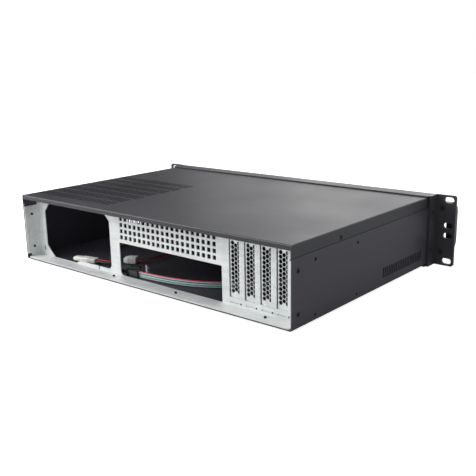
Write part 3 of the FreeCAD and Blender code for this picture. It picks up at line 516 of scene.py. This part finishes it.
# Node, plug, sideways, plan, step, entry, lift, material, and length in metres.
LEADS = [
    ("middle_fan_red_wire", MIDDLE_PLUG, 2.5, MIDDLE_PLAN, 0, 16, 0, "wire_red", 0.2129),
    ("middle_fan_black_wire", MIDDLE_PLUG, -2.5, MIDDLE_PLAN, 4, 16, 0, "wire_black", 0.2087),
    ("side_fan_red_wire", SIDE_PLUG, 0, SIDE_PLAN, 0, 10, 1.5, "wire_red", 0.2789),
    ("side_fan_yellow_wire", SIDE_PLUG, -3, SIDE_PLAN, 3, 10, 0, "wire_yellow", 0.2757),
    ("side_fan_black_wire", SIDE_PLUG, 3, SIDE_PLAN, -3, 10, 0, "wire_black", 0.2822),
]


def add_cords(materials):
    piece, path = ribbon()
    piece.data.materials.append(materials["ribbon"])
    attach(piece, "chassis")
    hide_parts("panel_ribbon")
    white = materials["plastic_white"]
    plugs = {
        SIDE_PLUG: add_plug("side_fan_plug", SIDE_PLUG, SIDE_PLUG_SIZE, white),
        MIDDLE_PLUG: add_plug("middle_fan_plug", MIDDLE_PLUG, MIDDLE_PLUG_SIZE, white),
    }
    for name, plug, sideways, plan, step, entry, lift, material, length in LEADS:
        points = lead_points(plug, sideways, plan, step, entry, lift)
        piece = nurbs(name + "_line", points, WIRE_DIAMETER / 2)
        piece.data.materials.append(materials[material])
        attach(piece, "chassis")
        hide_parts(name)


# ---------------------------------------------------------------- screws, plugs and handles
def tube_through(shape, rings):
    """Faces along a row of rings, and one at each end."""
    for first, second in zip(rings, rings[1:]):
        for k in range(len(first)):
            following = (k + 1) % len(first)
            shape.faces.new((first[k], first[following], second[following], second[k]))
    shape.faces.new(rings[0])
    shape.faces.new(rings[-1])


def lathe(profile, sides=28):
    """Closed solid from (radius, height) pairs, turned about Z."""
    shape = bmesh.new()
    rings = []
    for radius, height in profile:
        ring = []
        for k in range(sides):
            angle = 2 * math.pi * k / sides
            point = (radius * math.cos(angle), radius * math.sin(angle), height)
            ring.append(shape.verts.new(point))
        rings.append(ring)
    tube_through(shape, rings)
    return shape


def mesh_object(name, shape):
    bmesh.ops.recalc_face_normals(shape, faces=shape.faces)
    mesh = bpy.data.meshes.new(name)
    shape.to_mesh(mesh)
    shape.free()
    piece = bpy.data.objects.new(name, mesh)
    SCENE.collection.objects.link(piece)
    return piece


def cross_cutter(radius, top, depth):
    """Two tapered blades, crossed, that cut a recess down from the top."""
    shape = bmesh.new()
    reach = radius * 0.58
    width = radius * 0.13
    for along, across in ((0, 1), (1, 0)):
        corners = []
        for height, scale in ((top - depth, 0.45), (top + 0.4 * depth, 1.12)):
            for sx, sy in ((-1, -1), (1, -1), (1, 1), (-1, 1)):
                point = [0, 0, height]
                point[along] = sx * reach * scale
                point[across] = sy * width
                corners.append(shape.verts.new(point))
        tube_through(shape, [corners[:4], corners[4:]])
    return mesh_object("cutter", shape)


def screw_mesh(profile):
    """Screw pointing down -Z from a head at the top of its profile, cross recessed."""
    body = mesh_object("screw", lathe(profile))
    top = profile[-1][1]
    radius = max(r for r, z in profile)
    cutter = cross_cutter(radius, top, radius * 0.5)
    cut = body.modifiers.new("recess", "BOOLEAN")
    cut.operation = "DIFFERENCE"
    cut.solver = "EXACT"
    cut.use_self = True
    cut.object = cutter
    bpy.context.view_layer.update()
    graph = bpy.context.evaluated_depsgraph_get()
    mesh = bpy.data.meshes.new_from_object(body.evaluated_get(graph))
    for spare in (body, cutter):
        bpy.data.objects.remove(spare)
    return mesh


def shank_end(shank, length):
    return [(shank * 0.7, -length), (shank, -length + 0.4)]


def countersunk(radius, head, shank, length):
    """The head is flush at height 0, and its cone goes down by head."""
    cone = [(shank, -head), (radius, -0.12), (radius, 0.0), (radius * 0.97, 0.0)]
    return shank_end(shank, length) + cone


def pan_head(radius, height, shank, length):
    """The seat is at height 0; the head domes up from it."""
    dome = [
        (shank, 0.0), (radius, 0.0), (radius, height * 0.35),
        (radius * 0.93, height * 0.72), (radius * 0.75, height * 0.94), (radius * 0.62, height),
    ]
    return shank_end(shank, length) + dome


def screw_set(node, body, material, profile, places):
    """All the screws of one node; places are (point, direction of the head), in millimetres."""
    template = screw_mesh([(r / MILLIMETRES, z / MILLIMETRES) for r, z in profile])
    shape = bmesh.new()
    for number, (place, outward) in enumerate(places):
        copy = template.copy()
        turn = Vector(outward).to_track_quat("Z", "Y").to_matrix().to_4x4()
        spin = Matrix.Rotation(0.5 + 1.1 * number, 4, "Z")
        copy.transform(Matrix.Translation(case_point(*place)) @ turn @ spin)
        shape.from_mesh(copy)
        bpy.data.meshes.remove(copy)
    piece = mesh_object(node + "_detailed", shape)
    piece.data.materials.append(material)
    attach(piece, body)
    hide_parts(node)


# Depths and heights of the screws, in millimetres.
COVER_SCREW = (212, 75)
EAR_OUTSIDE = HALF + 3
EAR_SCREW_DEPTH = 10
EAR_SCREW_Z = (64.9, 18.8)
RIM_SCREW_DEPTH = BODY_DEPTH - 10.2
RIM_SCREW_Z = (57.8, 14.6)
FLOOR_SCREW_X = (53.2, -50.0, -174.4)
FRONT_FACE = -2
SLOT_SCREW = (-130.9, BODY_DEPTH - 18.7 + 6, 79.2)


def screw_places():
    """For each node: points and the directions that the heads face."""
    sides = (-1, 1)
    ends = (-HANDLE_HALF_PITCH, HANDLE_HALF_PITCH)
    corners = (-FAN_HOLE_REACH, FAN_HOLE_REACH)
    x, depth, height = SLOT_SCREW
    rim = [((s * HALF, RIM_SCREW_DEPTH, z), (s, 0, 0)) for s in sides for z in RIM_SCREW_Z]
    rim += [((at, RIM_SCREW_DEPTH, 0), (0, 0, -1)) for at in FLOOR_SCREW_X]
    return {
        "cover_screws": [((s * HALF, *COVER_SCREW), (s, 0, 0)) for s in sides],
        "ear_screws": [
            ((s * EAR_OUTSIDE, EAR_SCREW_DEPTH, z), (s, 0, 0)) for s in sides for z in EAR_SCREW_Z
        ],
        "handle_screws": [
            ((s * HANDLE_X, 0, EAR_MIDDLE + e), (0, 1, 0)) for s in sides for e in ends
        ],
        "rear_panel_screws": rim,
        "fan_screws": [
            ((middle + c, FRONT_FACE, FAN_Z + c), (0, -1, 0)) for middle in FAN_X for c in corners
        ],
        "slot_cover_screws": [
            ((x - SLOT_PITCH * i, depth, height), (0, 0, 1)) for i in range(SLOT_COUNT)
        ],
    }


# Node, body, material, slot and profile.
SCREWS = [
    ("cover_screws", "cover", "screw_black", "black_screw", countersunk(2.8, 1.0, 1.4, 5.0)),
    ("ear_screws", "chassis", "ear_screw", "black_screw", countersunk(2.8, 1.5, 1.45, 6.0)),
    ("handle_screws", "chassis", "ear_screw", "black_screw", countersunk(3.75, 2.0, 1.9, 11.0)),
    ("rear_panel_screws", "chassis", "screw_black", "black_screw", pan_head(2.5, 0.5, 1.45, 4.1)),
    ("fan_screws", "chassis", "screw_black", "black_screw", pan_head(3.4, 1.4, 2.0, 9.0)),
    ("slot_cover_screws", "chassis", "screw_zinc", "zinc_screw", pan_head(2.9, 1.6, 1.4, 5.0)),
]


def add_screws(materials):
    places = screw_places()
    for node, body, material, slot, profile in SCREWS:
        screw_set(node, body, materials[material], profile, places[node])


HANDLE_WIDTH = 12.0
HANDLE_THICKNESS = 9.0
HANDLE_CORNER = 2.0
HANDLE_FOOT = -3.0
HANDLE_BEND = 9.8
BEND_STEPS = 12


def handle_path(front, foot, reach, bend):
    """Middle line of a bow handle in its own plane, as (depth, height) in millimetres."""
    path = [(foot, -reach), (front + bend, -reach)]
    for k in range(1, BEND_STEPS):
        angle = math.pi / 2 * k / BEND_STEPS
        depth = front + bend - bend * math.sin(angle)
        path.append((depth, -reach + bend - bend * math.cos(angle)))
    path.append((front, -reach + bend))
    return path + [(y, -z) for y, z in reversed(path)]


def rounded_section(width, height, radius, steps=5):
    section = []
    for k, (sx, sy) in enumerate(((1, 1), (-1, 1), (-1, -1), (1, -1))):
        for i in range(steps + 1):
            angle = math.pi / 2 * (k + i / steps)
            x = sx * (width / 2 - radius) + radius * math.cos(angle)
            section.append((x, sy * (height / 2 - radius) + radius * math.sin(angle)))
    return section


PLUG_FULL = (0.98, 0.88)
PLUG_WAIST = (0.91, 0.78)
PLUG_CORNER = 1.3
GROOVES = 4
GROOVE_START = 2.4
GROOVE_PITCH = 2.2


def plug_profile(length):
    """Along a power plug from its wire end: how far, and the shares of its width and height."""
    profile = [(0.0, 0.88, 0.78), (0.8, 0.98, 0.86)]
    for i in range(GROOVES):
        edge = GROOVE_START + GROOVE_PITCH * i
        profile += [(edge, *PLUG_FULL), (edge + 0.2, *PLUG_WAIST)]
        profile += [(edge + 1.0, *PLUG_WAIST), (edge + 1.2, *PLUG_FULL)]
    shoulder = max(0.62 * length, 11.0)
    profile += [(shoulder, *PLUG_FULL), (shoulder + 1.0, 0.86, 0.76)]
    profile += [(length - 0.8, 0.84, 0.70), (length, 0.76, 0.60)]
    return profile


def add_plug(name, place, size, material):
    """Nylon power plug: ribbed grip at its wires, then a shoulder and a slimmer nose."""
    x, y, z, heading = place
    start = case_point(x, y, z)
    length, width, height = size
    turn = Matrix.Rotation(math.radians(heading), 3, "Z")
    shape = bmesh.new()
    rings = []
    for along, wide, tall in plug_profile(length):
        section = rounded_section(width * wide, height * tall, PLUG_CORNER)
        points = [start + turn @ Vector((along, u, v)) / MILLIMETRES for u, v in section]
        rings.append([shape.verts.new(point) for point in points])
    tube_through(shape, rings)
    piece = mesh_object(name + "_ribbed", shape)
    piece.data.materials.append(material)
    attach(piece, "chassis")
    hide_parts(name)
    return piece


def handle_ring(path, i, x, section):
    """Points of the section, square to the handle's middle line at its i-th point."""
    before, after = neighbours(path, i)
    ahead = Vector((0, after[0] - before[0], after[1] - before[1])).normalized()
    across = Vector((0, -ahead.z, ahead.y))
    middle = case_point(x, path[i][0], EAR_MIDDLE + path[i][1])
    return [middle + (Vector((u, 0, 0)) + across * v) / MILLIMETRES for u, v in section]


def add_handles(materials):
    """Anodised bow handles with rounded edges."""
    front = HANDLE_THICKNESS / 2 - HANDLE_REACH
    path = handle_path(front, HANDLE_FOOT, HANDLE_HALF_PITCH, HANDLE_BEND)
    section = rounded_section(HANDLE_WIDTH, HANDLE_THICKNESS, HANDLE_CORNER)
    for name, side in (("left_handle", -1), ("right_handle", 1)):
        shape = bmesh.new()
        rings = []
        for i in range(len(path)):
            points = handle_ring(path, i, side * HANDLE_X, section)
            rings.append([shape.verts.new(point) for point in points])
        tube_through(shape, rings)
        piece = mesh_object(name + "_bow", shape)
        for face in piece.data.polygons:
            face.use_smooth = len(face.vertices) == 4
        piece.data.materials.append(materials["handle_black"])
        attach(piece, "chassis")
        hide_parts(name)


# ---------------------------------------------------------------- build
add_camera()
for lamp_row in LAMPS:
    area_light(*lamp_row)
add_world()
add_floor()
add_flag()
MATERIALS = make_materials()
for material_name, node_names in WEARS.items():
    for node_name in node_names:
        wear(node_name, MATERIALS[material_name])
add_cords(MATERIALS)
add_screws(MATERIALS)
add_handles(MATERIALS)
